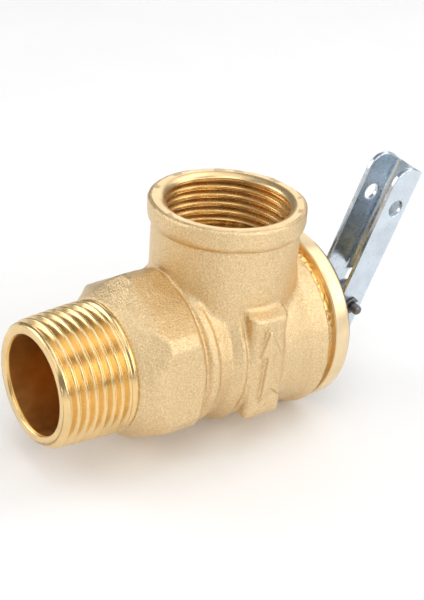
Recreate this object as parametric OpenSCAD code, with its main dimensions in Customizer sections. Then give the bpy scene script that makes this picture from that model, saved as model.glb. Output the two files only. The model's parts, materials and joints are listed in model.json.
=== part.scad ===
// Angle pressure relief valve: male inlet, female outlet, spring-loaded disc and test lever.
// X is the valve axis, with the inlet end face at x = 0 and the lever at the far end.
// Z is the outlet axis. Places named _x are distances along the valve axis, in millimetres.

/* [Inlet] */
// Major radius of the male inlet thread
inlet_thread_r = 13.2; // [13.0:0.1:13.4]
// Radius of the inlet bore
inlet_bore_r = 9.8; // [9.0:0.1:10.2]
// Pitch of both pipe threads
pipe_pitch = 1.814; // [1.7:0.002:1.85]
// Full turns of the inlet thread
inlet_turns = 7; // [5:2:7]

/* [Outlet] */
// Distance from the inlet end face to the outlet axis
outlet_x = 43; // [42:0.1:44]
// Height of the outlet face above the valve axis
outlet_top_z = 29.3; // [28.5:0.1:30]
// Crest radius of the female outlet thread
outlet_thread_r = 12.06; // [11.8:0.02:12.2]
// Outer radius of the outlet boss
outlet_boss_r = 14.7; // [14.5:0.1:15.2]
// Outer radius of the collar round the outlet mouth
outlet_collar_r = 15.55; // [15.4:0.05:16]

/* [Body] */
// Wrench size of the hexagon, across its flats
hex_flats = 31.5; // [31:0.1:32]
// Radius that the hexagon's corners are turned down to
hex_corner_r = 17.3; // [17:0.1:17.6]
// Radius of the machined rim that holds the bonnet
rim_r = 18.44; // [18.2:0.02:18.8]
// End of the rim
rim_x = 62.8; // [62.6:0.1:63]
// Distance from the valve axis to the face of each arrow pad
pad_y = 17.9; // [17.6:0.1:18.1]

/* [Seat and spring] */
// Radius of the seat opening
seat_r = 6.5; // [6:0.1:6.8]
// Radius of the spring's wire
wire_r = 0.7; // [0.6:0.05:0.75]
// Turns of the spring
spring_turns = 4.5; // [4:0.5:4.5]

/* [Lever] */
// Place of the lever's pivot pin
pivot_x = 76.1; // [75.5:0.1:77]
// Angle that the lever has turned about the valve axis
lever_swivel = 7.5; // [0:0.5:20]
// Angle that the lever leans away from the bonnet when the valve is shut
lever_tilt = 15; // [12:0.5:18]
// Length of the lever from its pivot to its tip
lever_length = 32.8; // [30:0.1:36]
// Width of the lever's channel
lever_w = 8.6; // [8.4:0.1:9]
// Distance from the pivot to the cord hole
cord_hole_reach = 23.6; // [20:0.1:26]
// Radius of the cord hole
cord_hole_r = 1.85; // [1.5:0.05:2]
// Angle that the lever turns from shut to fully open
lever_travel = 70; // [50:1:75]
// Distance that the disc lifts for each radian of the lever's turn
lift_per_radian = 2.0; // [1.8:0.05:2.1]

/* [Hidden] */
$fn = 96;
clear = 0.05;                       // running clearance of the stem and the pin
eps = 0.01;                         // how far a cut runs past a face that it meets

// body, along the valve axis
thread_start_x = 0.4;
crest_w = 0.7;
thread_depth = 1.15;
runout_x = thread_start_x + (inlet_turns + 1) * pipe_pitch;
shoulder_x = 15.2;
hex_end_x = 29.3;
seat_x = 34.2;
nozzle_r = 8.6;
chamber_x = 31.2;
chamber_r = 13.2;
diaphragm_x = 48.5;
bonnet_bore_r = 15.2;
rim_start_x = 59.5;

// outlet, along its own axis
mouth_depth = 1.1;
outlet_turns = 5;
outlet_floor_z = 17.6;
outlet_root_r = outlet_thread_r + 1.05;
collar_z = outlet_top_z - 4.4;
passage_x = 39.6;
passage_r = 8;

// arrow pads
pad_start_x = 37.4;
pad_end_x = 47;
pad_low_z = -12.8;
pad_high_z = 10;
relief = 0.5;

// diaphragm and its clamping parts
diaphragm_t = 1.2;
clamp_r = 12.7;
slip_ring_t = 0.9;
bonnet_start_x = diaphragm_x + diaphragm_t + slip_ring_t;
shank_r = 2.5;
carrier_x = diaphragm_x + diaphragm_t;
carrier_base_t = 1.2;
carrier_base_r = 8.2;
carrier_r = 5;
carrier_bore_r = 4.3;
carrier_top_x = 57;
web_t = 1.5;

// spring
spring_start_x = carrier_x + carrier_base_t;
spring_end_x = 61.7;
spring_r = 6.3;
spring_chamber_r = 8.4;
upper_plate_t = 1.2;

// bonnet hub, adjusting screw and lock nut
hub_end_x = 66.8;
hub_flats = 22;
screw_r = 7;
screw_start_x = spring_end_x + upper_plate_t;
screw_neck_x = 70.3;
screw_head_r = 6.3;
screw_flats = 11;
nut_flats = 17;
nut_end_x = 69.4;
plate_t = 0.5;
plate_r = rim_r - 0.5;
seal_x = 66;
seal_r = 0.53;

// stem and lever
stem_r = 2.95;
stem_start_x = 53.6;
stem_end_x = pivot_x + 3.1;
clip_t = 0.8;
clip_x = carrier_top_x - web_t - 0.1 - clip_t;
pin_r = 1.05;
pin_reach = 3;
sheet_t = 1;
bend_r = 2.2;
heel_r = 3.6;                       // pivot to the lever's open edges, and to the heel when shut
back_r = 4.8;                       // pivot to the outside of the lever's web
heel_gap = 0.1;
bearing_x = pivot_x - heel_r - heel_gap;
web_low = 5;                        // distance from the pivot at which the web starts
pin_clip_gap = 0.15;
pin_clip_t = 0.5;
pin_clip_r = 1.8;

brass = "#d9b36c";
bright_brass = "#e6c26e";
steel = "#b9c2cc";
dark_steel = "#4b4a48";
rubber = "#2b2b2d";

// ---- shared shapes ----

// Turns a profile of [radius, x] points about the valve axis.
module turned(profile) {
    rotate([0, 90, 0]) rotate_extrude() polygon(profile);
}

// A round bar or a ring along the valve axis.
module ring(from_x, to_x, outer_r, inner_r = 0) {
    translate([from_x, 0, 0]) rotate([0, 90, 0]) difference() {
        cylinder(h = to_x - from_x, r = outer_r);
        if (inner_r > 0) translate([0, 0, -1]) cylinder(h = to_x - from_x + 2, r = inner_r);
    }
}

// A hexagonal bar along the valve axis, with two corners on the Z axis.
module hex_bar(from_x, to_x, flats) {
    translate([from_x, 0, 0]) rotate([0, 90, 0])
        cylinder(h = to_x - from_x, r = flats / 2 / cos(30), $fn = 6);
}

// A hexagonal nut with its corners turned down at the outer end.
module turned_hex(from_x, to_x, flats, chamfer) {
    corner_r = flats / 2 / cos(30);
    intersection() {
        hex_bar(from_x, to_x, flats);
        turned([[0, from_x - 1], [corner_r + 1, from_x - 1], [corner_r + 1, to_x - chamfer - 0.6],
                [flats / 2 - 0.1, to_x + 0.1], [0, to_x + 0.1]]);
    }
}

// Places the lever's own axes: Z along the lever, Y along its pin, X out through its web.
module at_lever(tilt) {
    translate([pivot_x, 0, 0]) rotate([lever_swivel, 0, 0]) rotate([0, tilt, 0]) children();
}

// ---- body ----

function inlet_thread() = [
    for (turn = [0 : inlet_turns - 1], corner = [0 : 2])
        let (crest = thread_start_x + turn * pipe_pitch)
            corner == 0 ? [inlet_thread_r, crest]
            : corner == 1 ? [inlet_thread_r, crest + crest_w]
            : [inlet_thread_r - thread_depth, crest + (crest_w + pipe_pitch) / 2]
];

outer_profile = concat(
    [[0, 0], [inlet_thread_r - 0.4, 0]],
    inlet_thread(),
    [[13, runout_x - pipe_pitch], [13, shoulder_x], [15.2, 17.4], [15.2, 29.6], [15.9, 30.4],
     [15.9, 32.1], [15.5, 32.6], [15.6, 34.9], [17, 37.3], [17.3, 54.6], [18.4, 57.2],
     [18.85, rim_start_x - 0.3], [rim_r, rim_start_x], [rim_r, rim_x - 0.3], [rim_r - 0.3, rim_x],
     [0, rim_x]]);

hex_envelope = [[0, 15.6], [13.4, 15.6], [15.9, 16.8], [hex_corner_r, 19.2],
                [hex_corner_r, 27.4], [15.5, hex_end_x], [0, hex_end_x]];

inlet_bore = [[0, -1], [inlet_bore_r, -1], [inlet_bore_r, 25], [seat_r, 29], [seat_r, 35], [0, 35]];

chamber = [[0, seat_x], [seat_r + 0.7, seat_x], [nozzle_r, seat_x - 0.8], [nozzle_r, chamber_x],
           [chamber_r, chamber_x], [chamber_r, diaphragm_x], [bonnet_bore_r, diaphragm_x],
           [bonnet_bore_r, rim_x + 1], [0, rim_x + 1]];

function outlet_thread() = [
    for (turn = [0 : outlet_turns - 1], corner = [0 : 2])
        let (crest = outlet_top_z - mouth_depth - turn * pipe_pitch)
            corner == 0 ? [outlet_thread_r, crest]
            : corner == 1 ? [outlet_thread_r, crest - crest_w]
            : [outlet_root_r, crest - (crest_w + pipe_pitch) / 2]
];

outlet_bore = concat(
    [[0, outlet_top_z + 1], [outlet_thread_r + mouth_depth + 1, outlet_top_z + 1]],
    outlet_thread(),
    [[outlet_root_r, outlet_floor_z], [0, outlet_floor_z]]);

module outlet_boss() {
    translate([outlet_x, 0, 0]) rotate_extrude() polygon([
        [0, 2], [outlet_boss_r, 2], [outlet_boss_r, collar_z], [outlet_collar_r, collar_z + 0.6],
        [outlet_collar_r, outlet_top_z - 0.6], [outlet_collar_r - 0.6, outlet_top_z],
        [0, outlet_top_z]]);
}

// One flat pad with a raised arrow that points the way the water leaves.
module arrow_pad() {
    translate([pad_start_x, 0, 0]) rotate([90, 0, 90])
        linear_extrude(pad_end_x - pad_start_x) polygon([
            [-12, pad_low_z], [1.9 - pad_y, pad_low_z], [0.7 - pad_y, pad_low_z + 0.9],
            [-pad_y, pad_low_z + 2.2],
            [-pad_y, pad_high_z], [-14.4, pad_high_z + 3.6], [-12, pad_high_z + 3.6]]);
    arrow_x = (pad_start_x + pad_end_x) / 2;
    translate([arrow_x, -pad_y + 0.2, 0]) rotate([90, 0, 0]) linear_extrude(relief + 0.2)
        polygon([[0, 8.5], [3.6, 3], [1.3, 3.6], [1.6, -4.4], [3.2, -7.4], [0, -5.4],
                 [-3.2, -7.4], [-1.6, -4.4], [-1.3, 3.6], [-3.6, 3]]);
}

module body() {
    color(brass) difference() {
        union() {
            turned(outer_profile);
            intersection() {
                hex_bar(15, 30, hex_flats);
                turned(hex_envelope);
            }
            outlet_boss();
            arrow_pad();
            mirror([0, 1, 0]) arrow_pad();
        }
        turned(inlet_bore);
        turned(chamber);
        translate([outlet_x, 0, 0]) rotate_extrude() polygon(outlet_bore);
        translate([passage_x, 0, 9.5]) cylinder(h = outlet_floor_z - 9.5 + 0.1, r = passage_r);
    }
}

// ---- bonnet and what it carries ----

module bonnet() {
    color(brass) difference() {
        union() {
            ring(bonnet_start_x, rim_x, bonnet_bore_r - clear);
            turned_hex(rim_x - 1, hub_end_x, hub_flats, 0.5);
        }
        turned([[0, bonnet_start_x - 1], [clamp_r - 0.1, bonnet_start_x - 1], [clamp_r - 0.1, 54.4],
                [spring_chamber_r, 56.2], [spring_chamber_r, 63.9], [screw_r + clear, 64.3],
                [screw_r + clear, hub_end_x + 1], [0, hub_end_x + 1]]);
    }
}

module rating_plate() {
    color(dark_steel) ring(rim_x, rim_x + plate_t, plate_r, hub_flats / 2 / cos(30) + 0.2);
}

module adjusting_screw() {
    color(bright_brass) difference() {
        union() {
            ring(screw_start_x, screw_neck_x, screw_r);
            intersection() {
                ring(screw_neck_x - 1, bearing_x, screw_head_r);
                translate([screw_neck_x - 1, -screw_flats / 2, -10])
                    cube([bearing_x - screw_neck_x + 1, screw_flats, 20]);
            }
        }
        ring(screw_start_x - 1, bearing_x + 1, stem_r + clear);
        ring(seal_x, seal_x + 2 * seal_r + 0.3, stem_r + 2 * seal_r + 0.06);
    }
}

module lock_nut() {
    color(bright_brass) difference() {
        turned_hex(hub_end_x, nut_end_x, nut_flats, 0.3);
        ring(hub_end_x - 1, nut_end_x + 1, screw_r + clear);
    }
}

module stem_seal() {
    color(rubber) rotate([0, 90, 0]) rotate_extrude()
        translate([stem_r + seal_r + 0.03, seal_x + seal_r + 0.15]) circle(r = seal_r, $fn = 32);
}

// ---- spring and its seats ----

module upper_spring_plate() {
    lip_r = spring_r - wire_r - 0.3;
    color(steel) difference() {
        union() {
            ring(spring_end_x, screw_start_x, spring_r + wire_r + 0.6);
            ring(spring_end_x - 1, spring_end_x + 0.5, lip_r);
        }
        ring(spring_end_x - 2, screw_start_x + 1, stem_r + 0.35);
    }
}

// Closed coil for one turn at each end, open coils between.
spring_steps = 26;
spring_sides = 8;
end_pitch = 2 * wire_r + 0.06;
spring_run = spring_end_x - spring_start_x - 2 * wire_r;
open_pitch = (spring_run - 2 * end_pitch) / (spring_turns - 2);

function spring_x(turn) = spring_start_x + wire_r
    + (turn < 1 ? turn * end_pitch
       : turn > spring_turns - 1 ? spring_run - (spring_turns - turn) * end_pitch
       : end_pitch + (turn - 1) * open_pitch);

function spring_ring(turn) = [
    for (side = [0 : spring_sides - 1])
        let (a = side * 360 / spring_sides, r = spring_r + wire_r * cos(a), t = turn * 360)
            [spring_x(turn) + wire_r * sin(a), r * cos(t), r * sin(t)]
];

module spring() {
    rings = round(spring_turns * spring_steps);
    points = [for (i = [0 : rings]) each spring_ring(i / spring_steps)];
    sides = [for (i = [0 : rings - 1], s = [0 : spring_sides - 1])
        let (n = (s + 1) % spring_sides, k = i * spring_sides, m = k + spring_sides)
            [k + s, k + n, m + n, m + s]];
    first_end = [for (s = [spring_sides - 1 : -1 : 0]) s];
    last_end = [for (s = [0 : spring_sides - 1]) rings * spring_sides + s];
    color(steel) polyhedron(points, concat(sides, [first_end, last_end]), convexity = 8);
}

module spring_carrier() {
    color(brass) difference() {
        union() {
            ring(carrier_x, spring_start_x, carrier_base_r);
            ring(carrier_x + 0.5, carrier_top_x, carrier_r);
        }
        ring(carrier_x - 1, spring_start_x + eps, shank_r + clear);
        ring(spring_start_x, carrier_top_x - web_t, carrier_bore_r);
        ring(carrier_top_x - web_t - eps, carrier_top_x + 1, stem_r + clear);
        // side windows that let the nut and the stem's clip in
        translate([spring_start_x, -carrier_r - 1, -2.6])
            cube([carrier_top_x - web_t - spring_start_x, 2 * carrier_r + 2, 5.2]);
    }
}

module clamp_nut() {
    color(steel) difference() {
        hex_bar(spring_start_x, spring_start_x + 2.1, 7);
        ring(spring_start_x - 1, spring_start_x + 3, shank_r + clear);
    }
}

// ---- diaphragm and disc ----

module slip_ring() {
    color(steel) ring(carrier_x, bonnet_start_x, bonnet_bore_r - 0.2, clamp_r);
}

module diaphragm() {
    color(rubber) turned([
        [shank_r + clear, diaphragm_x], [9, diaphragm_x], [9.9, diaphragm_x + 1],
        [11.2, diaphragm_x + 1], [12.1, diaphragm_x], [bonnet_bore_r - 0.2, diaphragm_x],
        [bonnet_bore_r - 0.2, carrier_x], [12.4, carrier_x], [11.6, carrier_x + 1],
        [9.5, carrier_x + 1], [8.7, carrier_x], [shank_r + clear, carrier_x]]);
}

module disc_holder() {
    face_x = seat_x + 3;
    color(brass) difference() {
        turned([[0, face_x], [7.95, face_x], [7.95, seat_x + 0.8], [9, seat_x + 0.8], [9, face_x + 2.2],
                [3.6, face_x + 2.2], [3.6, diaphragm_x - 2.4], [8.4, diaphragm_x - 1.6],
                [8.4, diaphragm_x], [shank_r, diaphragm_x], [shank_r, stem_start_x - 0.4],
                [0, stem_start_x - 0.4]]);
        ring(face_x - 1, face_x + 2.6, 1.55);
    }
}

module seat_washer() {
    color(rubber) ring(seat_x + clear, seat_x + 3, 7.9, 1.6);
}

module washer_screw() {
    color(steel) union() {
        turned([[0, seat_x - 1.5], [2.4, seat_x - 1.5], [3.2, seat_x - 0.7], [3.2, seat_x + clear],
                [0, seat_x + clear]]);
        ring(seat_x - 0.2, seat_x + 5.4, 1.5);
    }
}

// ---- stem, lever and pin ----

module stem() {
    color(steel) difference() {
        turned([[0, stem_start_x], [2.5, stem_start_x], [stem_r, stem_start_x + 0.4],
                [stem_r, clip_x], [2.2, clip_x], [2.2, clip_x + clip_t], [stem_r, clip_x + clip_t],
                [stem_r, stem_end_x - 0.7], [stem_r - 0.9, stem_end_x], [0, stem_end_x]]);
        at_lever(0) rotate([90, 0, 0]) cylinder(h = 8, r = pin_r + 0.03, center = true);
    }
}

module stem_clip() {
    color(steel) difference() {
        ring(clip_x, clip_x + clip_t, 4, 2.25);
        translate([clip_x - 1, -1.6, -5]) cube([clip_t + 2, 3.2, 5]);
    }
}

// The heel is an involute: turning it one radian lifts the pivot by lift_per_radian.
function heel_point(angle) =
    let (reach = heel_r + lift_per_radian * (angle - lever_tilt) * PI / 180)
        [lift_per_radian * sin(angle) - reach * cos(angle),
         -lift_per_radian * cos(angle) - reach * sin(angle)];

lever_outline = concat(
    [for (a = [180 : -10 : 90]) [0.3 + (heel_r + 0.3) * cos(a), lever_length - 4.2 + 4.2 * sin(a)]],
    [for (c = [1.3 : 1 : 3.3]) [c, lever_length - 1.2 * pow((c - 0.3) / 4, 2)]],
    [[back_r, lever_length - 1.2]],
    [for (a = [0 : -30 : -90]) [back_r - 1 + cos(a), -5.4 + sin(a)]],
    [for (a = [lever_tilt + lever_travel : -5 : lever_tilt]) heel_point(a)],
    [[-heel_r, -0.1]]);

module lever_channel() {
    inner_r = bend_r - sheet_t;
    half_w = lever_w / 2;
    difference() {
        union() {
            translate([-6, -half_w]) square([6 + back_r - bend_r, lever_w]);
            translate([-6, bend_r - half_w]) square([6 + back_r, lever_w - 2 * bend_r]);
            for (s = [-1, 1]) translate([back_r - bend_r, s * (half_w - bend_r)]) circle(bend_r);
        }
        translate([-7, sheet_t - half_w])
            square([7 + back_r - bend_r, lever_w - 2 * sheet_t]);
        translate([-7, bend_r - half_w])
            square([7 + back_r - sheet_t, lever_w - 2 * bend_r]);
        for (s = [-1, 1]) translate([back_r - bend_r, s * (half_w - bend_r)]) circle(inner_r);
    }
}

module lever() {
    color(steel) at_lever(lever_tilt) difference() {
        intersection() {
            translate([0, 0, -12]) linear_extrude(lever_length + 14) lever_channel();
            rotate([90, 0, 0]) linear_extrude(2 * lever_w, center = true) polygon(lever_outline);
        }
        translate([0, sheet_t - lever_w / 2, -12])
            cube([10, lever_w - 2 * sheet_t, 12 + web_low]);
        rotate([90, 0, 0]) cylinder(h = 2 * lever_w, r = pin_r + 0.08, center = true);
        translate([0.2, 0, cord_hole_reach]) rotate([90, 0, 0])
            cylinder(h = 2 * lever_w, r = cord_hole_r, center = true);
    }
}

module lever_pin() {
    half_l = lever_w / 2 + pin_reach;
    color(dark_steel) at_lever(0) rotate([90, 0, 0]) rotate_extrude() polygon([
        [0, -half_l], [pin_r - 0.4, -half_l], [pin_r, 0.5 - half_l],
        [pin_r, half_l - 0.5], [pin_r - 0.4, half_l], [0, half_l]]);
}

// Two push-on clips that keep the pin in the lever's ears.
module pin_clips() {
    near = lever_w / 2 + pin_clip_gap;
    color(dark_steel) at_lever(0) for (s = [-1, 1])
        translate([0, s * (near + pin_clip_t / 2), 0]) rotate([90, 0, 0]) difference() {
            cylinder(h = pin_clip_t, r = pin_clip_r, center = true);
            cylinder(h = 1, r = pin_r + 0.02, center = true);
            translate([0, -0.7, -1]) cube([3, 1.4, 2]);
        }
}

body();
bonnet();
rating_plate();
adjusting_screw();
lock_nut();
stem_seal();
upper_spring_plate();
spring();
spring_carrier();
clamp_nut();
slip_ring();
diaphragm();
disc_holder();
seat_washer();
washer_screw();
stem();
stem_clip();
lever();
lever_pin();
pin_clips();
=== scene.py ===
import json
import math

import bpy
import numpy as np
from mathutils import Matrix, Vector


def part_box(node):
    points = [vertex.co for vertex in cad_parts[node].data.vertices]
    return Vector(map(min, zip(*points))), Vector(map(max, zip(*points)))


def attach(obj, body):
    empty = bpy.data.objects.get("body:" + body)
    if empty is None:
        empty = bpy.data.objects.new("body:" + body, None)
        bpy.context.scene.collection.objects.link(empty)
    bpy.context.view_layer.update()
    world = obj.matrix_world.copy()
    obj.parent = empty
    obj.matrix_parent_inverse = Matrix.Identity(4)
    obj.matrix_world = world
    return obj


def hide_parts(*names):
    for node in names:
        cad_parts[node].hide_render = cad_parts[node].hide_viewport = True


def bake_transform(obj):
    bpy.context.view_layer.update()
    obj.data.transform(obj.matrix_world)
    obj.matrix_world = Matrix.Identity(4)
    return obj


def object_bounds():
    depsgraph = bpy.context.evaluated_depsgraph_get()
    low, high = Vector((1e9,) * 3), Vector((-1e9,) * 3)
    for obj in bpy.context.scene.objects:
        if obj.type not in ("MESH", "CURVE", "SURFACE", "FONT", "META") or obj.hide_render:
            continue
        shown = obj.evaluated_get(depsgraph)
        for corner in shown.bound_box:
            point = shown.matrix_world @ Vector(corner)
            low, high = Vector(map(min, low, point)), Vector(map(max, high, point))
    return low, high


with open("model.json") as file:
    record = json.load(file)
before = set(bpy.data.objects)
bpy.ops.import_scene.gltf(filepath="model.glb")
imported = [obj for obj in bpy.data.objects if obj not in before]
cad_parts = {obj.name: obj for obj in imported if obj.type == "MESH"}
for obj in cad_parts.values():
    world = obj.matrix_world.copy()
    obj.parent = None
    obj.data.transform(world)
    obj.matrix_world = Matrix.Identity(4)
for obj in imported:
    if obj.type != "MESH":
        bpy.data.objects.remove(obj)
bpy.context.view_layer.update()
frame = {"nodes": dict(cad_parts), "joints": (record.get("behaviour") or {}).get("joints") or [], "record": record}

MM = 0.001
RECORD = frame["record"]
MOUNTS = {mount["name"]: mount for mount in RECORD["mounts"]}
JOINTS = {joint["name"]: joint for joint in frame["joints"]}


def box_mm(node):
    low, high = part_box(node)
    return np.array(low) / MM, np.array(high) / MM


# ---- driving dimensions, from the frame ----
RIM_X = box_mm("body")[1][0]
OUTLET_TOP = box_mm("body")[1][2]
PITCH = 1.814  # of the pipe threads
BORE_R = MOUNTS["inlet_bore"]["dims"]["r_mm"]
OUTLET_X = MOUNTS["outlet_thread"]["pos_m"][0] / MM
OUTLET_R = MOUNTS["outlet_thread"]["dims"]["r_mm"]
BONNET_X = box_mm("bonnet")[0][0]
BONNET_R = box_mm("bonnet")[1][1]
HUB_X = box_mm("bonnet")[1][0]
NUT_X = box_mm("lock_nut")[1][0]
SCREW_X = box_mm("adjusting_screw")[1][0]
PLATE_X = box_mm("rating_plate")[1][0]
PLATE_R = box_mm("rating_plate")[1][1]
PIVOT = np.array(JOINTS["lever_lift"]["pos_m"]) / MM
PIN_AXIS = np.array(JOINTS["lever_lift"]["axis"])
EYE = np.array(MOUNTS["cord_eye"]["pos_m"]) / MM
STEM_R = box_mm("stem")[1][1]

# The lever's own axes: along it from the pivot to the eye, and out through its web.
LEVER_TILT = math.radians(15)
VALVE_AXIS = np.array([1.0, 0, 0])
LEVER_ALONG = (math.cos(LEVER_TILT) * np.cross(VALVE_AXIS, PIN_AXIS)
               + math.sin(LEVER_TILT) * VALVE_AXIS)
LEVER_OUT = np.cross(PIN_AXIS, LEVER_ALONG)

# Grid steps of the meshes: for the casting, and for the small machined and pressed parts.
STEP = 0.36
FINE_STEP = 0.15
COS_30 = math.cos(math.radians(30))


# ---- signed distance fields ----

def round_join(a, b, r):
    """Union of two fields with a fillet of radius r where they meet."""
    return np.maximum(r, np.minimum(a, b)) - np.hypot(np.maximum(r - a, 0), np.maximum(r - b, 0))


def round_meet(a, b, r):
    """Intersection of two fields with a rounded edge of radius r."""
    return np.minimum(-r, np.maximum(a, b)) + np.hypot(np.maximum(r + a, 0), np.maximum(r + b, 0))


def cut(a, b, r=0.0):
    """Field a with b taken away, with the new edge rounded by r."""
    return round_meet(a, -b, r) if r else np.maximum(a, -b)


def profile(points, blur):
    """A function that follows (place, radius) points, with the corners softened over about blur."""
    places, radii = np.array(points, float).T
    fine = np.arange(places[0] - 6 * blur, places[-1] + 6 * blur, 0.04)
    values = np.interp(fine, places, radii)
    reach = np.arange(-4 * blur, 4 * blur + 0.02, 0.04)
    kernel = np.exp(-0.5 * (reach / blur) ** 2)
    padded = np.pad(values, len(kernel) // 2, mode="edge")
    soft = np.convolve(padded, kernel / kernel.sum(), mode="valid")[: len(fine)]
    return lambda at: np.interp(at, fine, soft)


def polygon_field(corners, u, v):
    """Signed distance to a closed outline in the plane, negative inside."""
    corners = np.array(corners, float)
    u, v = np.broadcast_arrays(u, v)
    nearest = np.full(u.shape, 1e9)
    sign = np.ones(u.shape)
    for (au, av), (bu, bv) in zip(np.roll(corners, 1, 0), corners):
        eu, ev = bu - au, bv - av
        wu, wv = u - au, v - av
        t = np.clip((wu * eu + wv * ev) / (eu * eu + ev * ev), 0, 1)
        nearest = np.minimum(nearest, (wu - t * eu) ** 2 + (wv - t * ev) ** 2)
        above, below = v >= av, v < bv
        left = eu * wv > ev * wu
        flip = (above & below & left) | (~above & ~below & ~left)
        sign = np.where(flip, -sign, sign)
    return sign * np.sqrt(nearest)


def surface_nets(field, low, high, step):
    """Vertices and quads on the zero surface of a field, each vertex then moved onto it."""
    low, high = np.array(low, float) - 2 * step, np.array(high, float) + 2 * step
    lines = [np.arange(a, b + step, step) for a, b in zip(low, high)]
    x, y, z = (line.reshape(shape) for line, shape in zip(lines, ((-1, 1, 1), (1, -1, 1), (1, 1, -1))))
    values = np.broadcast_to(field(x, y, z), [len(line) for line in lines]).astype(np.float32)
    inside = values < 0
    shape = np.array(values.shape) - 1
    corners = [(i, j, k) for i in (0, 1) for j in (0, 1) for k in (0, 1)]
    count = sum(
        inside[i:i + shape[0], j:j + shape[1], k:k + shape[2]].astype(np.int8) for i, j, k in corners)
    cells = np.argwhere((count > 0) & (count < 8))
    number = np.full(shape, -1, np.int32)
    number[tuple(cells.T)] = np.arange(len(cells))
    at_corner = {c: values[tuple((cells + c).T)] for c in corners}
    total, hits = np.zeros((len(cells), 3)), np.zeros(len(cells))
    for a in corners:
        for axis in range(3):
            if a[axis]:
                continue
            b = tuple(1 if n == axis else a[n] for n in range(3))
            va, vb = at_corner[a], at_corner[b]
            crosses = (va < 0) != (vb < 0)
            t = np.where(crosses, va / np.where(crosses, va - vb, 1), 0)
            point = np.tile(np.array(a, float), (len(cells), 1))
            point[:, axis] += t
            total += point * crosses[:, None]
            hits += crosses
    vertices = low + step * (cells + total / hits[:, None])
    quads = []
    for axis in range(3):
        u, v = (axis + 1) % 3, (axis + 2) % 3
        here = [slice(0, n) for n in shape]
        there = list(here)
        there[axis] = slice(1, shape[axis] + 1)
        first, second = inside[tuple(here)], inside[tuple(there)]
        edges = np.argwhere(first != second)
        edges = edges[(edges[:, u] > 0) & (edges[:, v] > 0)]
        outward = inside[tuple(edges.T)]
        du, dv = np.eye(3, dtype=int)[u], np.eye(3, dtype=int)[v]
        ring = [number[tuple((edges - a * du - b * dv).T)] for a, b in ((1, 1), (0, 1), (0, 0), (1, 0))]
        ring = np.stack(ring, 1)
        quads.append(np.where(outward[:, None], ring, ring[:, ::-1]))
    quads = np.concatenate(quads)
    h = 0.2 * step
    for _ in range(3):
        slope = np.stack([
            field(*(vertices + h * side).T) - field(*(vertices - h * side).T) for side in np.eye(3)], 1)
        slope /= 2 * h
        move = field(*vertices.T)[:, None] * slope / np.maximum((slope ** 2).sum(1), 0.2)[:, None]
        length = np.linalg.norm(move, axis=1)[:, None]
        vertices = vertices - move * np.minimum(1, 0.7 * step / np.maximum(length, 1e-9))
    return vertices, quads


# ---- making pieces ----

def add_piece(name, vertices, faces, body, slot, material, replaces=()):
    """A mesh piece from vertices in millimetres that rides on a body."""
    mesh = bpy.data.meshes.new(name)
    mesh.from_pydata((np.asarray(vertices) * MM).tolist(), [], [list(face) for face in faces])
    mesh.validate()
    mesh.polygons.foreach_set("use_smooth", np.ones(len(mesh.polygons), bool))
    piece = bpy.data.objects.new(name, mesh)
    bpy.context.scene.collection.objects.link(piece)
    mesh.materials.append(material)
    if body:
        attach(piece, body)
    if replaces:
        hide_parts(*replaces)
    return piece


def shape_piece(name, field, low, high, step, *rest, **more):
    """A piece meshed from its field between two corners."""
    vertices, quads = surface_nets(field, low, high, step)
    return add_piece(name, vertices, quads, *rest, **more)


def turned_mesh(loop, around, segments=240, depth=None):
    """Turns a closed loop of (place, radius) points about an axis.

    around moves the turned points from the X axis to where they belong, and what
    depth(place, angle, radius) gives is taken off the radius, which cuts threads.
    """
    places, radii = np.array(loop, float).T
    angles = np.arange(segments) * 2 * math.pi / segments
    p, r = places[:, None] + 0 * angles, radii[:, None] + 0 * angles
    if depth:
        r = r - depth(p, angles[None, :] + 0 * p, r)
    points = np.stack([p, r * np.cos(angles), r * np.sin(angles)], 2).reshape(-1, 3)
    rows = np.arange(len(places))
    below, above = rows, np.roll(rows, -1)
    now, later = np.arange(segments), np.roll(np.arange(segments), -1)
    quads = np.stack([
        (below[:, None] * segments + now), (above[:, None] * segments + now),
        (above[:, None] * segments + later), (below[:, None] * segments + later)], 2).reshape(-1, 4)
    return around(points), quads


def along_x(points):
    return points


def along_z(points):
    """Axis up at the outlet. The points' first number is the height."""
    return np.stack([OUTLET_X + points[:, 2], points[:, 1], points[:, 0]], 1)


def fill(loop, gap):
    """A loop of points with more put in wherever two are further apart than gap."""
    out = []
    for (a, b), (c, d) in zip(loop, loop[1:] + loop[:1]):
        n = max(1, math.ceil(math.hypot(c - a, d - b) / gap))
        out += [(a + (c - a) * i / n, b + (d - b) * i / n) for i in range(n)]
    return out


def fade(value, start, end):
    """0 at start to 1 at end, smoothly."""
    t = np.clip((value - start) / (end - start), 0, 1)
    return t * t * (3 - 2 * t)


def thread_depth(phase, form_depth, crest=0.16, root=0.10):
    """Depth of a thread below its crest at a phase in turns; crest and root are flat shares of a turn."""
    u = 1 - np.abs((phase % 1.0) - 0.5) * 2
    return form_depth * np.clip((u - crest) / (1 - crest - root), 0, 1)


# ---- materials ----

def new_material(name, base, metallic, roughness, **sockets):
    material = bpy.data.materials.new(name)
    material.use_nodes = True
    shader = material.node_tree.nodes["Principled BSDF"]
    shader.inputs["Base Color"].default_value = (*base, 1)
    shader.inputs["Metallic"].default_value = metallic
    shader.inputs["Roughness"].default_value = roughness
    for key, value in sockets.items():
        shader.inputs[key.replace("_", " ")].default_value = value
    return material, material.node_tree, shader


def node(tree, kind, **settings):
    made = tree.nodes.new("ShaderNode" + kind)
    for key, value in settings.items():
        if key in made.inputs:
            made.inputs[key].default_value = value
        else:
            setattr(made, key, value)
    return made


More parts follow.
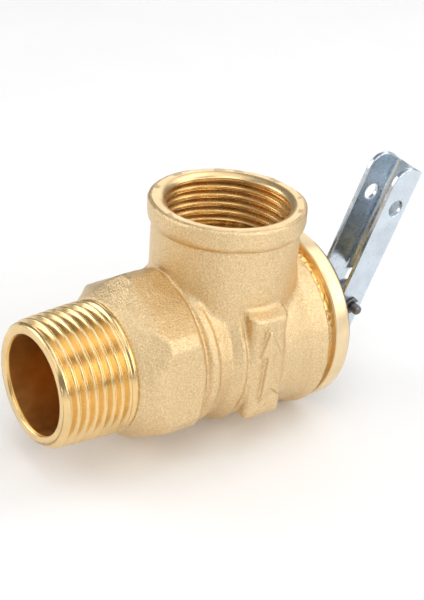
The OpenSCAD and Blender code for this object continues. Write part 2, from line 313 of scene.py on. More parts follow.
def noise(tree, scale, detail=3.0, roughness=0.55, stretch=None):
    """Noise in the piece's own coordinates; scale is features per metre. Returns its value socket."""
    place = node(tree, "TexCoord").outputs["Object"]
    if stretch:
        mapping = node(tree, "Mapping")
        mapping.inputs["Scale"].default_value = stretch
        tree.links.new(place, mapping.inputs["Vector"])
        place = mapping.outputs["Vector"]
    made = node(tree, "TexNoise", Scale=scale, Detail=detail, Roughness=roughness)
    tree.links.new(place, made.inputs["Vector"])
    return made.outputs["Fac"]


def ramp(tree, source, stops):
    """Maps a value to colours. stops are (place, colour)."""
    made = node(tree, "ValToRGB")
    elements = made.color_ramp.elements
    while len(elements) < len(stops):
        elements.new(0.5)
    for element, (place, colour) in zip(elements, stops):
        element.position = place
        element.color = (*colour, 1) if len(colour) == 3 else colour
    tree.links.new(source, made.inputs["Fac"])
    return made.outputs["Color"]


def spread(tree, source, low, high, start=0.3, end=0.7):
    """Maps a value from start..end to low..high."""
    made = node(tree, "MapRange")
    for name, value in (("From Min", start), ("From Max", end), ("To Min", low), ("To Max", high)):
        made.inputs[name].default_value = value
    tree.links.new(source, made.inputs["Value"])
    return made.outputs["Result"]


def bump(tree, layers):
    """Chains bumps from (height socket, distance in metres, strength) and returns the normal."""
    normal = None
    for height, distance, strength in layers:
        made = node(tree, "Bump", Distance=distance, Strength=strength)
        tree.links.new(height, made.inputs["Height"])
        if normal:
            tree.links.new(normal, made.inputs["Normal"])
        normal = made.outputs["Normal"]
    return normal


def cast_brass():
    """Shot-blasted casting: pale gold, with a fine crisp grain."""
    material, tree, shader = new_material("cast_brass", (0.84, 0.64, 0.37), 1.0, 0.36)
    tone = ramp(tree, noise(tree, 3200, 4, 0.7), [
        (0.36, (0.67, 0.475, 0.235)), (0.50, (0.775, 0.575, 0.32)), (0.63, (0.89, 0.70, 0.43))])
    tree.links.new(tone, shader.inputs["Base Color"])
    tree.links.new(spread(tree, noise(tree, 2400, 3), 0.27, 0.42), shader.inputs["Roughness"])
    normal = bump(tree, [
        (noise(tree, 1300, 2), 0.0004, 0.24), (noise(tree, 3000, 3, 0.6), 0.0003, 0.6)])
    tree.links.new(normal, shader.inputs["Normal"])
    return material


def machined_brass(name, base=(0.87, 0.63, 0.31), rough=(0.17, 0.30), marks=(60, 1, 1),
                   strength=0.25):
    """Turned brass with fine tool marks that run round the axis."""
    material, tree, shader = new_material(name, base, 1.0, sum(rough) / 2)
    tree.links.new(spread(tree, noise(tree, 420, 3), *rough), shader.inputs["Roughness"])
    lines = noise(tree, 90, 2, 0.6, marks)
    blotch = noise(tree, 330, 3)
    normal = bump(tree, [(lines, 0.00003, strength), (blotch, 0.00005, 0.2)])
    tree.links.new(normal, shader.inputs["Normal"])
    tone = ramp(tree, noise(tree, 200, 3), [
        (0.3, tuple(0.86 * c for c in base)), (0.7, tuple(min(1, 1.05 * c) for c in base))])
    tree.links.new(tone, shader.inputs["Base Color"])
    return material


def steel(name, base, rough, grain=0.12, scale=160, stretch=(1, 1, 1)):
    """Plated or bare steel with a faint uneven face; stretch draws the finest grain into lines."""
    material, tree, shader = new_material(name, base, 1.0, sum(rough) / 2)
    tree.links.new(spread(tree, noise(tree, 500, 3), *rough), shader.inputs["Roughness"])
    tree.links.new(bump(tree, [
        (noise(tree, scale, 2), 0.0003, grain), (noise(tree, 2600, 2, 0.5, stretch), 0.00002, 0.25)]),
        shader.inputs["Normal"])
    tone = ramp(tree, noise(tree, 240, 3), [
        (0.3, tuple(0.88 * c for c in base)), (0.7, tuple(min(1, 1.06 * c) for c in base))])
    tree.links.new(tone, shader.inputs["Base Color"])
    return material


def dull(name, base, rough, scale=900, strength=0.4):
    """A non-metal with a fine moulded or painted texture."""
    material, tree, shader = new_material(name, base, 0.0, sum(rough) / 2)
    tree.links.new(spread(tree, noise(tree, 300, 3), *rough), shader.inputs["Roughness"])
    tree.links.new(bump(tree, [(noise(tree, scale, 3), 0.00005, strength)]), shader.inputs["Normal"])
    tone = ramp(tree, noise(tree, 150, 3), [
        (0.3, tuple(0.8 * c for c in base)), (0.7, tuple(1.2 * c for c in base))])
    tree.links.new(tone, shader.inputs["Base Color"])
    return material


CAST = cast_brass()
THREAD_BRASS = machined_brass("machined_brass")
BORE_BRASS = machined_brass("bore_brass", (0.92, 0.57, 0.19), (0.32, 0.42), (30, 1, 1), 0.3)
OUTLET_BRASS = machined_brass("outlet_brass", (0.88, 0.645, 0.345), (0.26, 0.36), (1, 1, 60), 0.25)
# painted shade: a darker, deeper-toned copy of outlet_brass for the hollows, the thread inside the outlet and the
# groove behind the flange
SHADED_HOLLOW_BRASS = machined_brass("shaded_hollow_brass", (0.80, 0.52, 0.20), (0.22, 0.32), (1, 1, 60), 0.25)
RIM_BRASS = machined_brass("rim_brass", (0.90, 0.71, 0.44), (0.30, 0.40), (40, 1, 1), 0.2)
HUB_BRASS = machined_brass("hub_brass", (0.84, 0.60, 0.28), (0.2, 0.34), (30, 1, 1), 0.3)
ZINC = steel("zinc_plate", (0.66, 0.73, 0.80), (0.20, 0.32), 0.12, 120)
DARK_STEEL = steel("dark_steel", (0.19, 0.18, 0.18), (0.28, 0.5), 0.4, 1500)
STAINLESS = steel("stainless", (0.60, 0.60, 0.60), (0.22, 0.36), 0.1, 300, (20, 1, 1))
# painted shade: a copy of stainless at about half its brightness for the stem, which sits in the lever's shade
SHADED_STEM_STEEL = steel("shaded_stem_steel", (0.30, 0.29, 0.29), (0.24, 0.40), 0.15, 500, (20, 1, 1))
WIRE = steel("spring_wire", (0.48, 0.49, 0.51), (0.25, 0.4), 0.15, 900)
RUBBER = dull("black_rubber", (0.022, 0.022, 0.025), (0.55, 0.75))
PLATE = dull("black_plate", (0.028, 0.026, 0.028), (0.28, 0.42), 2500, 0.15)


# ---- cast body ----

HEX_TURN = math.radians(3)
SHOULDER_X = 15.3
GROOVE_X, UNDERCUT_X = 57.9, 59.5
GROOVE_R, RIM_R = 17.1, 18.44
BORE_END_X, SEAT_X = 25.0, 34.2
SEAT_R = 6.5
CHAMBER_R, CHAMBER_START_X, CHAMBER_END_X = 13.2, 31.2, 49.0
PASSAGE_X, PASSAGE_R = 39.6, 8.0
RELIEF_R, RELIEF_Z = 13.11, 17.55

barrel_radius = profile([
    (SHOULDER_X - 3, 12.9), (SHOULDER_X, 12.95), (17.7, 14.8), (19.5, 15.1), (27.6, 15.1),
    (29.3, 14.85), (29.9, 15.75), (31.3, 16.15), (31.9, 15.45), (35.2, 15.35), (37.3, 17.1),
    (38.1, 16.6), (39.4, 16.75), (54.6, 17.05), (56.6, 17.85), (57.8, 18.1), (58.2, 17.65),
    (70, 17.7)], 0.17)
hex_half_flats = profile([(SHOULDER_X, 13.3), (17.7, 14.9), (20.3, 15.75), (30, 15.75)], 0.3)
hex_corner_radius = profile([
    (SHOULDER_X - 2, 11.2), (SHOULDER_X, 13.0), (17.7, 14.95), (20.9, 17.5), (27.3, 17.6), (29.3, 15.0),
    (30, 13.5)], 0.2)
boss_radius = profile([
    (-10, 14.6), (23.8, 14.65), (24.6, 14.6), (25.1, 15.25), (26.0, 15.55), (40, 15.6)], 0.16)

# the arrow's outline from its tip down, as (across, down)
ARROW = [(0, 0), (2.5, -5.6), (0.6, -6.0), (1.8, -13.0), (2.7, -16.0), (0, -13.2),
         (-2.7, -16.0), (-1.8, -13.0), (-0.6, -6.0), (-2.5, -5.6)]
ARROW_TIP_X, ARROW_TIP_Z, ARROW_LEAN = 41.7, 9.3, math.radians(5)
ARROW_RELIEF = 0.8
PAD_MIDDLE, PAD_HALF = 42.6, 4.3
PAD_LOW, PAD_HIGH, PAD_Y = -11.6, 11.2, 17.6


def pad_field(x, y, z):
    """Pads on both sides, flat on the face and rounded below, each with a raised arrow."""
    side = np.abs(y)
    ends = np.abs(x - PAD_MIDDLE) - PAD_HALF
    block = round_meet(ends, PAD_LOW - z, 2.2)
    block = round_meet(block, side - PAD_Y, 1.9)
    under = round_meet(PAD_LOW - z, side - PAD_Y, 3.2)
    top = 0.34 * (side - PAD_Y) + 0.94 * (z - PAD_HIGH)
    block = round_meet(np.maximum(block, under), top, 0.6)
    block = np.maximum(block, 8 - side)
    across, down = x - ARROW_TIP_X, z - ARROW_TIP_Z
    arrow = polygon_field(ARROW, across * math.cos(ARROW_LEAN) + down * math.sin(ARROW_LEAN),
                          down * math.cos(ARROW_LEAN) - across * math.sin(ARROW_LEAN))
    raised = round_meet(arrow, side - PAD_Y - ARROW_RELIEF, 0.2)
    raised = np.maximum(raised, PAD_Y - 1.5 - side)
    return round_join(block, raised, 0.15)


def hexagon(x, y, z, soft):
    """Rounded hexagonal bar along X whose front flats are tipped a little from the Y axis."""
    yy = y * math.cos(HEX_TURN) - z * math.sin(HEX_TURN)
    zz = y * math.sin(HEX_TURN) + z * math.cos(HEX_TURN)
    half = hex_half_flats(x)
    a = np.abs(yy) - half
    b = np.abs(0.5 * yy + math.sqrt(0.75) * zz) - half
    c = np.abs(0.5 * yy - math.sqrt(0.75) * zz) - half
    return round_meet(round_meet(a, b, soft), c, soft)


def casting(x, y, z):
    radius = np.hypot(y, z) + 1e-6
    # the barrel's front edge bows towards the bonnet on both sides
    bow = 1.0 * (y / radius) ** 2 - 0.55
    shifted = x - bow * fade(x, 28.2, 30.0) * (1 - fade(x, 33.5, 36.5))
    # the cup was cast lower than the machined axis
    cup_radius = np.hypot(y, z + 0.9 * fade(x, 50, 57)) + 1e-6
    barrel = (cup_radius - barrel_radius(shifted)) * 0.8
    cone = (radius - hex_corner_radius(x)) * 0.8
    hexed = round_meet(hexagon(x, y, z, 0.35), cone, 0.2)
    across = np.hypot(x - OUTLET_X, y) + 1e-6
    boss = round_meet(across - boss_radius(z), z - OUTLET_TOP + 0.03, 0.6)
    boss = np.maximum(boss, 2 - z)
    solid = round_join(barrel, hexed, 0.35)
    solid = round_join(solid, boss, 0.85)
    solid = round_join(solid, pad_field(x, y, z), 0.6)
    solid = round_meet(solid, x - UNDERCUT_X, 0.3)
    solid = cut(solid, np.maximum(GROOVE_R - radius, GROOVE_X - x), 0.15)
    solid = np.maximum(solid, SHOULDER_X - x)
    # the machined surfaces inside are pieces of their own, so the casting keeps clear of them
    bore = np.maximum(radius - BORE_R - 0.2, x - BORE_END_X)
    seat = np.maximum(radius - SEAT_R - 0.2, x - SEAT_X - 0.8)
    funnel = (radius - (BORE_R + 0.2 - 0.82 * (x - BORE_END_X))) * 0.77
    funnel = np.maximum(funnel, np.maximum(BORE_END_X - 0.1 - x, x - BORE_END_X - 4.2))
    chamber = np.maximum(radius - CHAMBER_R, np.maximum(CHAMBER_START_X - x, x - CHAMBER_END_X))
    nozzle = np.maximum(radius - SEAT_R - 2.1, x - SEAT_X)
    chamber = np.maximum(chamber, -nozzle)
    mouth = np.maximum(radius - BONNET_R - 0.05, CHAMBER_END_X - 0.5 - x)
    outlet = np.maximum(across - RELIEF_R - 0.39, RELIEF_Z - 0.05 - z)
    passage = np.hypot(x - PASSAGE_X, y) - PASSAGE_R
    passage = np.maximum(passage, np.maximum(9.5 - z, z - RELIEF_Z - 0.45))
    passage = round_join(passage, chamber, 0.6)
    hollow = np.minimum(np.minimum(np.minimum(bore, seat), np.minimum(funnel, passage)), mouth)
    solid = cut(solid, hollow, 0.3)
    return cut(solid, outlet)


def wrinkle(points, seed, waves, shortest, longest, height):
    """A small uneven height at each point: waves in random directions."""
    random = np.random.default_rng(seed)
    total = np.zeros(len(points))
    for _ in range(waves):
        direction = random.normal(size=3)
        length = random.uniform(shortest, longest)
        direction *= 2 * math.pi / length / np.linalg.norm(direction)
        total += length * np.sin(points @ direction + random.uniform(0, 2 * math.pi))
    return height * total / (math.sqrt(waves / 2) * longest)


def make_casting():
    low, high = [SHOULDER_X, -19.2, -19.3], [UNDERCUT_X, 19.2, OUTLET_TOP]
    vertices, quads = surface_nets(casting, low, high, STEP)
    h = 0.05
    slope = np.stack([
        casting(*(vertices + h * side).T) - casting(*(vertices - h * side).T) for side in np.eye(3)], 1)
    slope /= np.maximum(np.linalg.norm(slope, axis=1), 1e-6)[:, None]
    free = fade(vertices[:, 0], SHOULDER_X + 0.3, SHOULDER_X + 1.5)
    inner = np.hypot(vertices[:, 0] - OUTLET_X, vertices[:, 1]) < 13.6
    floor = fade(vertices[:, 2], 9, 11) * (1 - fade(vertices[:, 2], 18, 18.4)) * inner
    height = wrinkle(vertices, 7, 60, 1.6, 6.0, 0.045) + floor * wrinkle(vertices, 11, 60, 0.9, 2.4, 0.16)
    vertices = vertices + (slope.T * free * height).T
    return add_piece("cast_body", vertices, quads, "valve_body", "cast_brass", CAST, ["body"])


# ---- machined inlet, outlet and rim ----

inlet_crest = profile([(-1, 12.2), (1.5, 12.42), (4, 12.62), (8, 12.88), (11.5, 13.08), (16, 13.1)], 0.2)


def make_inlet():
    """Nipple with its helical thread and end face, and the bore down to the seat."""
    start, end = 0.9, 15.0
    outer = [(x, float(inlet_crest(x))) for x in np.arange(start, end, 0.075)]
    loop = [(0.3, BORE_R + 0.02), (0.06, BORE_R + 0.2), (0, BORE_R + 0.4), (0, 11.45), (0.1, 11.62),
            (0.5, 12.1)] + outer + [(end, 13.05), (16.0, 13.0), (16.0, BORE_R + 0.6)]
    loop += [(0.8, BORE_R + 0.6), (0.8, BORE_R + 0.02)]

    def depth(place, angle, radius):
        phase = place / PITCH - angle / (2 * math.pi)
        groove = np.maximum(thread_depth(phase, 1.12) - (inlet_crest(place) - radius), 0)
        live = (1 - fade(place, 13.3, 14.7)) * (radius > 11.5) * (place < end)
        return groove * live

    vertices, quads = turned_mesh(loop, along_x, 288, depth)
    add_piece("inlet_nipple", vertices, quads[:, ::-1], "valve_body", "cast_brass", THREAD_BRASS)
    loop = [(0.32, BORE_R), (0.32, BORE_R + 0.5), (BORE_END_X, BORE_R + 0.5), (29.2, SEAT_R + 0.6),
            (SEAT_X, SEAT_R + 0.6), (SEAT_X, SEAT_R + 0.25), (SEAT_X - 0.1, SEAT_R), (29.0, SEAT_R),
            (BORE_END_X, BORE_R)]
    vertices, quads = turned_mesh(fill(loop, 0.6), along_x, 192)
    add_piece("inlet_bore", vertices, quads, "valve_body", "cast_brass", BORE_BRASS)


def make_outlet():
    """Face, mouth chamfer and helical thread of the outlet."""
    top = OUTLET_TOP
    thread_top = top - 1.05
    face = [(top - 0.3, 14.95), (top - 0.03, 14.9), (top, 14.75), (top, 13.55), (top - 0.06, 13.4),
            (top - 0.25, 13.0), (top - 0.55, 12.55), (thread_top, 12.15), (thread_top, 14.0)]
    vertices, quads = turned_mesh(fill(face, 0.4), along_z, 288)
    add_piece("outlet_face", vertices, quads, "valve_body", "cast_brass", OUTLET_BRASS)
    wall = [(z, OUTLET_R) for z in np.arange(thread_top, 18.4, -0.085)]
    relief = [(18.3, RELIEF_R), (RELIEF_Z, RELIEF_R), (RELIEF_Z, 13.8), (26.0, 13.8)]
    loop = [(thread_top, 13.6)] + wall + relief

    def depth(place, angle, radius):
        phase = (top - 0.8 - place) / PITCH - angle / (2 * math.pi)
        groove = thread_depth(phase, 1.05, crest=0.08, root=0.05)
        live = 1 - fade(place, thread_top - 0.7, thread_top)
        return -groove * live * (radius < 13.0)

    vertices, quads = turned_mesh(loop, along_z, 288, depth)
    # the thread inside the outlet takes the darker brass, painted shade
    return add_piece("outlet_thread", vertices, quads, "valve_body", "cast_brass", SHADED_HOLLOW_BRASS)


def make_rim():
    """Rough groove behind the flange, and the machined flange that holds the bonnet."""
    groove_r = GROOVE_R + 0.04
    groove = [(GROOVE_X - 0.6, 16.6), (GROOVE_X - 0.6, groove_r), (UNDERCUT_X - 0.15, groove_r),
              (UNDERCUT_X - 0.15, 16.6)]
    vertices, quads = turned_mesh(fill(groove, 0.12), along_x, 400)
    rough = wrinkle(vertices, 23, 60, 0.5, 1.8, 0.05) / groove_r
    vertices = vertices * (1 + np.outer(rough, [0, 1, 1]))
    # the groove takes the darker brass, painted shade
    add_piece("rim_groove", vertices, quads[:, ::-1], "valve_body", "cast_brass", SHADED_HOLLOW_BRASS)
    loop = [(UNDERCUT_X - 0.3, 16.6), (UNDERCUT_X - 0.3, groove_r - 0.2), (UNDERCUT_X - 0.2, groove_r),
            (UNDERCUT_X - 0.15, 18.2), (UNDERCUT_X, 18.38), (UNDERCUT_X + 0.25, RIM_R),
            (RIM_X - 0.35, RIM_R), (RIM_X - 0.1, 18.34), (RIM_X, 18.1),
            (RIM_X, BONNET_R + 0.5), (RIM_X - 0.4, BONNET_R + 0.05), (UNDERCUT_X, BONNET_R + 0.05),
            (UNDERCUT_X, 16.6)]
    vertices, quads = turned_mesh(fill(loop, 0.5), along_x, 240)
    return add_piece("rim_ring", vertices, quads[:, ::-1], "valve_body", "cast_brass", RIM_BRASS)


# ---- lever ----

LEVER_SHEET = 1.0
LEVER_W = MOUNTS["cord_eye"]["dims"]["length_mm"]
LEVER_LENGTH = 32.8
HEEL_R, BACK_R = 3.6, 4.8
LEVER_BEND = 2.2
LIFT = 2.0
PIN_R = 1.05
CLIP_R = 1.8


def lever_outline():
    """The lever seen along its pin, as (out, along) points: tip, web side, tail and involute heel."""
    tip = [(0.3 + (HEEL_R + 0.3) * math.cos(math.radians(a)),
            LEVER_LENGTH - 4.2 + 4.2 * math.sin(math.radians(a))) for a in range(180, 89, -10)]
    crown = [(c, LEVER_LENGTH - 1.2 * ((c - 0.3) / 4.5) ** 2) for c in (1.3, 2.3, 3.3, 4.3)]
    tail = [(BACK_R - 1 + math.cos(math.radians(a)), -5.4 + math.sin(math.radians(a)))
            for a in (0, -30, -60, -90)]
    heel = []
    for angle in np.radians(np.arange(85, 14, -5)):
        reach = HEEL_R + LIFT * (angle - LEVER_TILT)
        heel.append((LIFT * math.sin(angle) - reach * math.cos(angle),
                     -LIFT * math.cos(angle) - reach * math.sin(angle)))
    return tip + crown + [(BACK_R, LEVER_LENGTH - 1.2)] + tail + heel + [(-HEEL_R, -0.1)]


def lever_field(out, pin, along):
    """Bent sheet with rounded edges, in the lever's own axes."""
    side = np.abs(pin)
    half = LEVER_W / 2
    skin = round_meet(side - half, out - BACK_R, LEVER_BEND)
    inner = round_meet(side - half + LEVER_SHEET, out - BACK_R + LEVER_SHEET, LEVER_BEND - LEVER_SHEET)
    channel = np.maximum(skin, -inner)
    soft = 0.16
    part = round_meet(channel, polygon_field(LEVER_OUTLINE, out, along), soft)
    arch = along - 3.6 - 2.4 * np.sqrt(np.maximum(0, 1 - (side / 3.5) ** 2))
    slot = np.maximum(side - half + LEVER_SHEET, np.maximum(-out, arch))
    part = cut(part, slot, soft)
    eye = np.hypot(out - EYE_OUT, along - EYE_ALONG) - MOUNTS["cord_eye"]["dims"]["r_mm"]
    part = cut(part, eye, soft)
    return cut(part, np.hypot(out, along) - PIN_R - 0.12, 0.1)


LEVER_OUTLINE = lever_outline()
EYE_OUT = float((EYE - PIVOT) @ LEVER_OUT)
EYE_ALONG = float((EYE - PIVOT) @ LEVER_ALONG)


def at_lever(points):
    return PIVOT + points @ np.stack([LEVER_OUT, PIN_AXIS, LEVER_ALONG])


def make_lever():
    low, high = [-4.2, -4.4, -6.6], [4.4, 4.4, LEVER_LENGTH]
    vertices, quads = surface_nets(lever_field, low, high, FINE_STEP)
    return add_piece("lever_channel", at_lever(vertices), quads, "lever", "zinc_steel", ZINC, ["lever"])


# ---- bonnet hub, nut and screw ----

HUB_FLATS, NUT_FLATS, SCREW_FLATS = 22.0, 17.0, 11.0
SCREW_R = 7.0
SCREW_NECK_X = 70.3
SCREW_HEAD_R = 6.3
SEAL_X, SEAL_HALF, SEAL_R = 66.68, 0.68, 4.07


def hex_bar(y, z, flats, soft):
    """Hexagonal bar along X with two corners on the Z axis."""
    a = np.abs(y) - flats / 2
    b = np.abs(0.5 * y + math.sqrt(0.75) * z) - flats / 2
    c = np.abs(0.5 * y - math.sqrt(0.75) * z) - flats / 2
    return round_meet(round_meet(a, b, soft), c, soft)


def nut_field(x, y, z, low, high, flats, both_ends):
    """Hexagonal nut whose corners are turned down to a cone at its ends."""
    radius = np.hypot(y, z)
    lean = 0.5
    cone = (radius - flats / 2 - 0.1 + (x - high) / lean) * 0.45
    bar = hex_bar(y, z, flats, 0.25)
    part = round_meet(bar, np.maximum(low - x, x - high), 0.15)
    part = round_meet(part, cone, 0.1)
    if both_ends:
        part = round_meet(part, (radius - flats / 2 - 0.1 + (low - x) / lean) * 0.45, 0.1)
    return part


def bonnet_field(x, y, z):
    """Bonnet shell that steps in to the spring's bore and then to the screw's thread."""
    radius = np.hypot(y, z)
    screw_hole = SCREW_R + 0.05
    past_hub, past_rim = HUB_X + 1, BONNET_R + 2.5
    outline = [(BONNET_X, 12.6), (54.4, 12.6), (56.2, 8.4), (63.9, 8.4), (64.3, screw_hole),
               (past_hub, screw_hole), (past_hub, past_rim), (RIM_X, past_rim), (RIM_X, BONNET_R),
               (BONNET_X, BONNET_R)]
    shell = polygon_field(outline, x, radius)
    hub = nut_field(x, y, z, RIM_X - 1, HUB_X, HUB_FLATS, False)
    barrel = round_meet(radius - BONNET_R, x - RIM_X, 0.15)
    solid = round_join(hub, barrel, 0.3)
    return round_meet(solid, shell, 0.2)


def lock_nut_field(x, y, z):
    radius = np.hypot(y, z)
    part = nut_field(x, y, z, HUB_X + 0.02, NUT_X, NUT_FLATS, True)
    return cut(part, radius - SCREW_R - 0.05, 0.2)


def adjusting_screw_field(x, y, z):
    """Screw with a 1 mm thread, two flats on its head and a groove for the stem's seal."""
    radius = np.hypot(y, z)
    start = box_mm("adjusting_screw")[0][0]
    phase = x / 1.0 - np.arctan2(z, y) / (2 * math.pi)
    shank = radius - SCREW_R + 0.3 * (1 - np.abs((phase % 1.0) - 0.5) * 2)
    shank = round_meet(shank * 0.8, np.maximum(start - x, x - SCREW_NECK_X), 0.25)
    head = round_meet(radius - SCREW_HEAD_R, np.abs(y) - SCREW_FLATS / 2, 0.15)
    head = round_meet(head, np.maximum(start + 1 - x, x - SCREW_X), 0.3)
    part = round_join(shank, head, 0.3)
    part = cut(part, radius - STEM_R - 0.06, 0.2)
    groove = np.maximum(radius - SEAL_R, np.abs(x - SEAL_X) - SEAL_HALF)
    return cut(part, groove)


def make_bonnet():
    reach = BONNET_R + 0.3
    step = 1.6 * FINE_STEP
    shape_piece("bonnet_hub", bonnet_field, [BONNET_X, -reach, -reach], [HUB_X, reach, reach], step,
                "valve_body", "turned_brass", HUB_BRASS, ["bonnet"])
    reach = NUT_FLATS / 2 / COS_30
    shape_piece("hex_lock_nut", lock_nut_field, [HUB_X, -reach, -reach], [NUT_X, reach, reach], FINE_STEP,
                "valve_body", "turned_brass", HUB_BRASS, ["lock_nut"])
    low, high = box_mm("adjusting_screw")
    shape_piece("threaded_screw", adjusting_screw_field, low, high, FINE_STEP, "valve_body",
                "turned_brass", HUB_BRASS, ["adjusting_screw"])


def make_plate():
    """Black rating plate with a rolled edge and two stamped rings."""
    inner = HUB_FLATS / 2 / COS_30 + 0.2
    low, high = RIM_X + 0.02, PLATE_X
    loop = [(low, inner), (low, PLATE_R - 0.1), (low + 0.1, PLATE_R), (high - 0.15, PLATE_R),
            (high, PLATE_R - 0.15)]
    for r in (PLATE_R - 1.0, inner + 1.2):
        loop += [(high, r + 0.15), (high - 0.12, r + 0.05), (high - 0.12, r - 0.05), (high, r - 0.15)]
    loop += [(high, inner + 0.1), (high - 0.1, inner)]
    vertices, quads = turned_mesh(fill(loop, 0.4), along_x, 240)
    add_piece("plate_ring", vertices, quads[:, ::-1], "valve_body", "black_plate", PLATE,
              ["rating_plate"])


# ---- stem, pin, clips and spring ----

def along_pin(points):
    """Places points whose first number runs along the lever's pin."""
    up = np.cross(PIN_AXIS, [1.0, 0, 0])
    return PIVOT + points @ np.stack([PIN_AXIS, np.array([1.0, 0, 0]), up])


def stem_field(x, y, z):
    """Rod with chamfered ends, a groove for its clip and a cross hole for the pin."""
    radius = np.hypot(y, z)
    low, high = box_mm("stem")[0][0], box_mm("stem")[1][0]
    rod = round_meet(radius - STEM_R, np.maximum(low - x, x - high), 0.55)
    clip_low, clip_high = box_mm("stem_clip")[0][0], box_mm("stem_clip")[1][0]
    groove = np.maximum(2.2 - radius, np.maximum(clip_low - x, x - clip_high))
    rod = cut(rod, groove, 0.08)
    u = x - PIVOT[0]
    v = -y * PIN_AXIS[2] + z * PIN_AXIS[1]
    return cut(rod, np.hypot(u, v) - PIN_R - 0.04, 0.1)


def make_stem():
    low, high = box_mm("stem")
    # the stainless stem takes the darkened copy, painted shade
    shape_piece("stem_rod", stem_field, low, high, FINE_STEP * 0.8, "stem", "stainless", SHADED_STEM_STEEL,
                ["stem"])


def make_pin():
    """Pin with a domed head at each end and a groove where its clip sits."""
    half = LEVER_W / 2 + 3.0
    clip = LEVER_W / 2 + 0.4
    dome = [(half - 0.75 * (1 - math.cos(math.radians(a))), PIN_R * math.sin(math.radians(a)))
            for a in (4, 15, 30, 45, 60, 75, 90)]
    side = dome + [(clip + 0.3, PIN_R), (clip + 0.25, PIN_R - 0.08), (clip - 0.25, PIN_R - 0.08),
                   (clip - 0.3, PIN_R)]
    loop = side + [(-a, r) for a, r in side[::-1]]
    vertices, quads = turned_mesh(fill(loop, 0.5), along_pin, 64)
    add_piece("domed_pin", vertices, quads, "stem", "dark_steel", DARK_STEEL, ["lever_pin"])


def clip_field(p, u, v):
    """Two E-shaped clips on the pin; p runs along it."""
    radius = np.hypot(u, v)
    disc = radius - CLIP_R
    bore = radius - PIN_R + 0.02
    mouth = np.maximum(np.abs(v) - 0.72, -u)
    part = cut(disc, np.minimum(bore, mouth), 0.08)
    for angle in (125, 235):
        c, q = math.cos(math.radians(angle)), math.sin(math.radians(angle))
        part = cut(part, np.hypot(u - 1.3 * c, v - 1.3 * q) - 0.2, 0.06)
    near = LEVER_W / 2 + 0.15
    return round_meet(part, np.abs(np.abs(p) - near - 0.25) - 0.25, 0.08)


def make_clips():
    reach = LEVER_W / 2 + 0.7
    step = 0.7 * FINE_STEP
    pieces = []
    for side in (-1, 1):
        low, high = sorted((side * (LEVER_W / 2), side * reach))
        pieces.append(surface_nets(clip_field, [low, -CLIP_R, -CLIP_R], [high, CLIP_R, CLIP_R], step))
    vertices = np.concatenate([v for v, q in pieces])
    quads = np.concatenate([pieces[0][1], pieces[1][1] + len(pieces[0][0])])
    add_piece("e_clips", along_pin(vertices), quads, "stem", "dark_steel", DARK_STEEL, ["pin_clips"])


def make_spring():
    """Closed and ground coil."""
    low, high = box_mm("spring")
    wire, turns = 0.7, 4.5
    run = high[0] - low[0] - 2 * wire
    closed = 2 * wire + 0.06
    pitch = (run - 2 * closed) / (turns - 2)
    steps, sides = ((400, 18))
    t = np.linspace(0, turns, steps + 1)[:, None]
    place = np.where(t < 1, t * closed, np.where(
        t > turns - 1, run - (turns - t) * closed, closed + (t - 1) * pitch)) + low[0] + wire
    angle = np.arange(sides) * 2 * math.pi / sides
    coil = high[1] - wire
    radius = coil + wire * np.cos(angle)
    points = np.stack([place + wire * np.sin(angle), radius * np.cos(2 * math.pi * t),
                       radius * np.sin(2 * math.pi * t)], 2).reshape(-1, 3)
    points[:, 0] = np.clip(points[:, 0], low[0] + 0.02, high[0] - 0.02)
    rows, cols = np.arange(steps)[:, None] * sides, np.arange(sides)
    beside = (cols + 1) % sides
    quads = np.stack([rows + cols, rows + beside, rows + sides + beside, rows + sides + cols], 2)
    ends = [list(range(sides))[::-1], [steps * sides + n for n in range(sides)]]
    faces = quads.reshape(-1, 4).tolist() + ends
    spring = add_piece("coil_spring", points, faces, None, "spring_steel", WIRE, ["spring"])
    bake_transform(spring)


# ---- camera, light and floor ----

def make_camera():
    azimuth, elevation, roll = math.radians(39.18), math.radians(27.762), math.radians(5.0)
    aim = Vector((0.03026, -0.01341, 0.01663))
    distance = 0.2419
    ahead = Vector((math.sin(azimuth) * math.cos(elevation), math.cos(azimuth) * math.cos(elevation),
                    -math.sin(elevation)))
    right = ahead.cross(Vector((0, 0, 1))).normalized()
    up = right.cross(ahead)
    turned_right = right * math.cos(roll) + up * math.sin(roll)
    turned_up = up * math.cos(roll) - right * math.sin(roll)
    camera = bpy.data.objects.new("camera", bpy.data.cameras.new("camera"))
    camera.data.sensor_width = 36
    camera.data.lens = 78.42
    camera.data.clip_start = 0.01
    camera.data.clip_end = 20
    turn = Matrix((turned_right, turned_up, -ahead)).transposed().to_4x4()
    camera.matrix_world = Matrix.Translation(aim - ahead * distance) @ turn
    bpy.context.scene.collection.objects.link(camera)
    bpy.context.scene.camera = camera


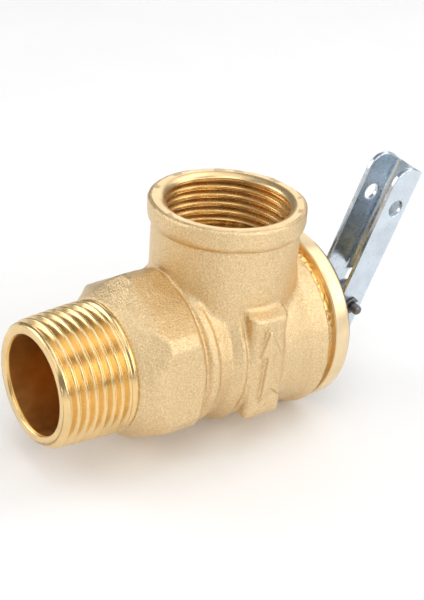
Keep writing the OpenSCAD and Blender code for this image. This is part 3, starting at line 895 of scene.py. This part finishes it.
def soft_box(name, azimuth, elevation, power):
    """Square soft light aimed at the valve; azimuth 0 is on the -Y side and 90 on the +X side."""
    light = bpy.data.lights.new(name, "AREA")
    light.shape = "SQUARE"
    light.size = 0.5
    light.energy = power
    made = bpy.data.objects.new(name, light)
    turn, rise = math.radians(azimuth), math.radians(elevation)
    toward = Vector((math.sin(turn) * math.cos(rise), -math.cos(turn) * math.cos(rise), math.sin(rise)))
    made.location = Vector((0.04, 0, 0.01)) + 0.8 * toward
    made.rotation_euler = (-toward).to_track_quat("-Z", "Y").to_euler()
    bpy.context.scene.collection.objects.link(made)


def make_studio():
    scene = bpy.context.scene
    scene.view_settings.view_transform = "Standard"
    world = bpy.data.worlds.new("studio")
    scene.world = world
    world.use_nodes = True
    world.node_tree.nodes["Background"].inputs["Color"].default_value = (1, 1, 1, 1)
    world.node_tree.nodes["Background"].inputs["Strength"].default_value = 0.26
    soft_box("front", 0, 25, 1.8)
    soft_box("front_right", 45, 25, 1.7)
    soft_box("right_high", 82, 55, 1.4)
    soft_box("back_right", 135, 25, 0.9)
    soft_box("back_left", 225, 25, 2.3)
    soft_box("left", 270, 25, 0.8)
    soft_box("front_left_high", 322, 55, 1.4)
    soft_box("overhead", 0, 89, 0.8)
    material, tree, shader = new_material("floor_paper", (0.96, 0.96, 0.96), 0.0, 0.85)
    tree.links.new(ramp(tree, noise(tree, 30, 2), [
        (0.3, (0.95, 0.95, 0.95)), (0.7, (0.97, 0.97, 0.97))]), shader.inputs["Base Color"])
    floor_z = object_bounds()[0].z - 0.0002
    mesh = bpy.data.meshes.new("floor")
    reach = 3.0
    mesh.from_pydata([(-reach, -reach, floor_z), (reach, -reach, floor_z), (reach, reach, floor_z),
                      (-reach, reach, floor_z)], [], [(0, 1, 2, 3)])
    floor = bpy.data.objects.new("floor", mesh)
    mesh.materials.append(material)
    scene.collection.objects.link(floor)


make_casting()
make_inlet()
make_outlet()
make_rim()
make_bonnet()
make_plate()
make_stem()
make_lever()
make_pin()
make_clips()
make_spring()

NODE_LOOKS = {
    "stem_seal": RUBBER, "upper_spring_plate": STAINLESS, "spring_carrier": HUB_BRASS,
    "clamp_nut": STAINLESS, "slip_ring": STAINLESS, "diaphragm": RUBBER, "disc_holder": HUB_BRASS,
    "seat_washer": RUBBER, "washer_screw": STAINLESS, "stem_clip": DARK_STEEL}
for name, material in NODE_LOOKS.items():
    mesh = frame["nodes"][name].data
    mesh.materials.clear()
    mesh.materials.append(material)

make_camera()
make_studio()
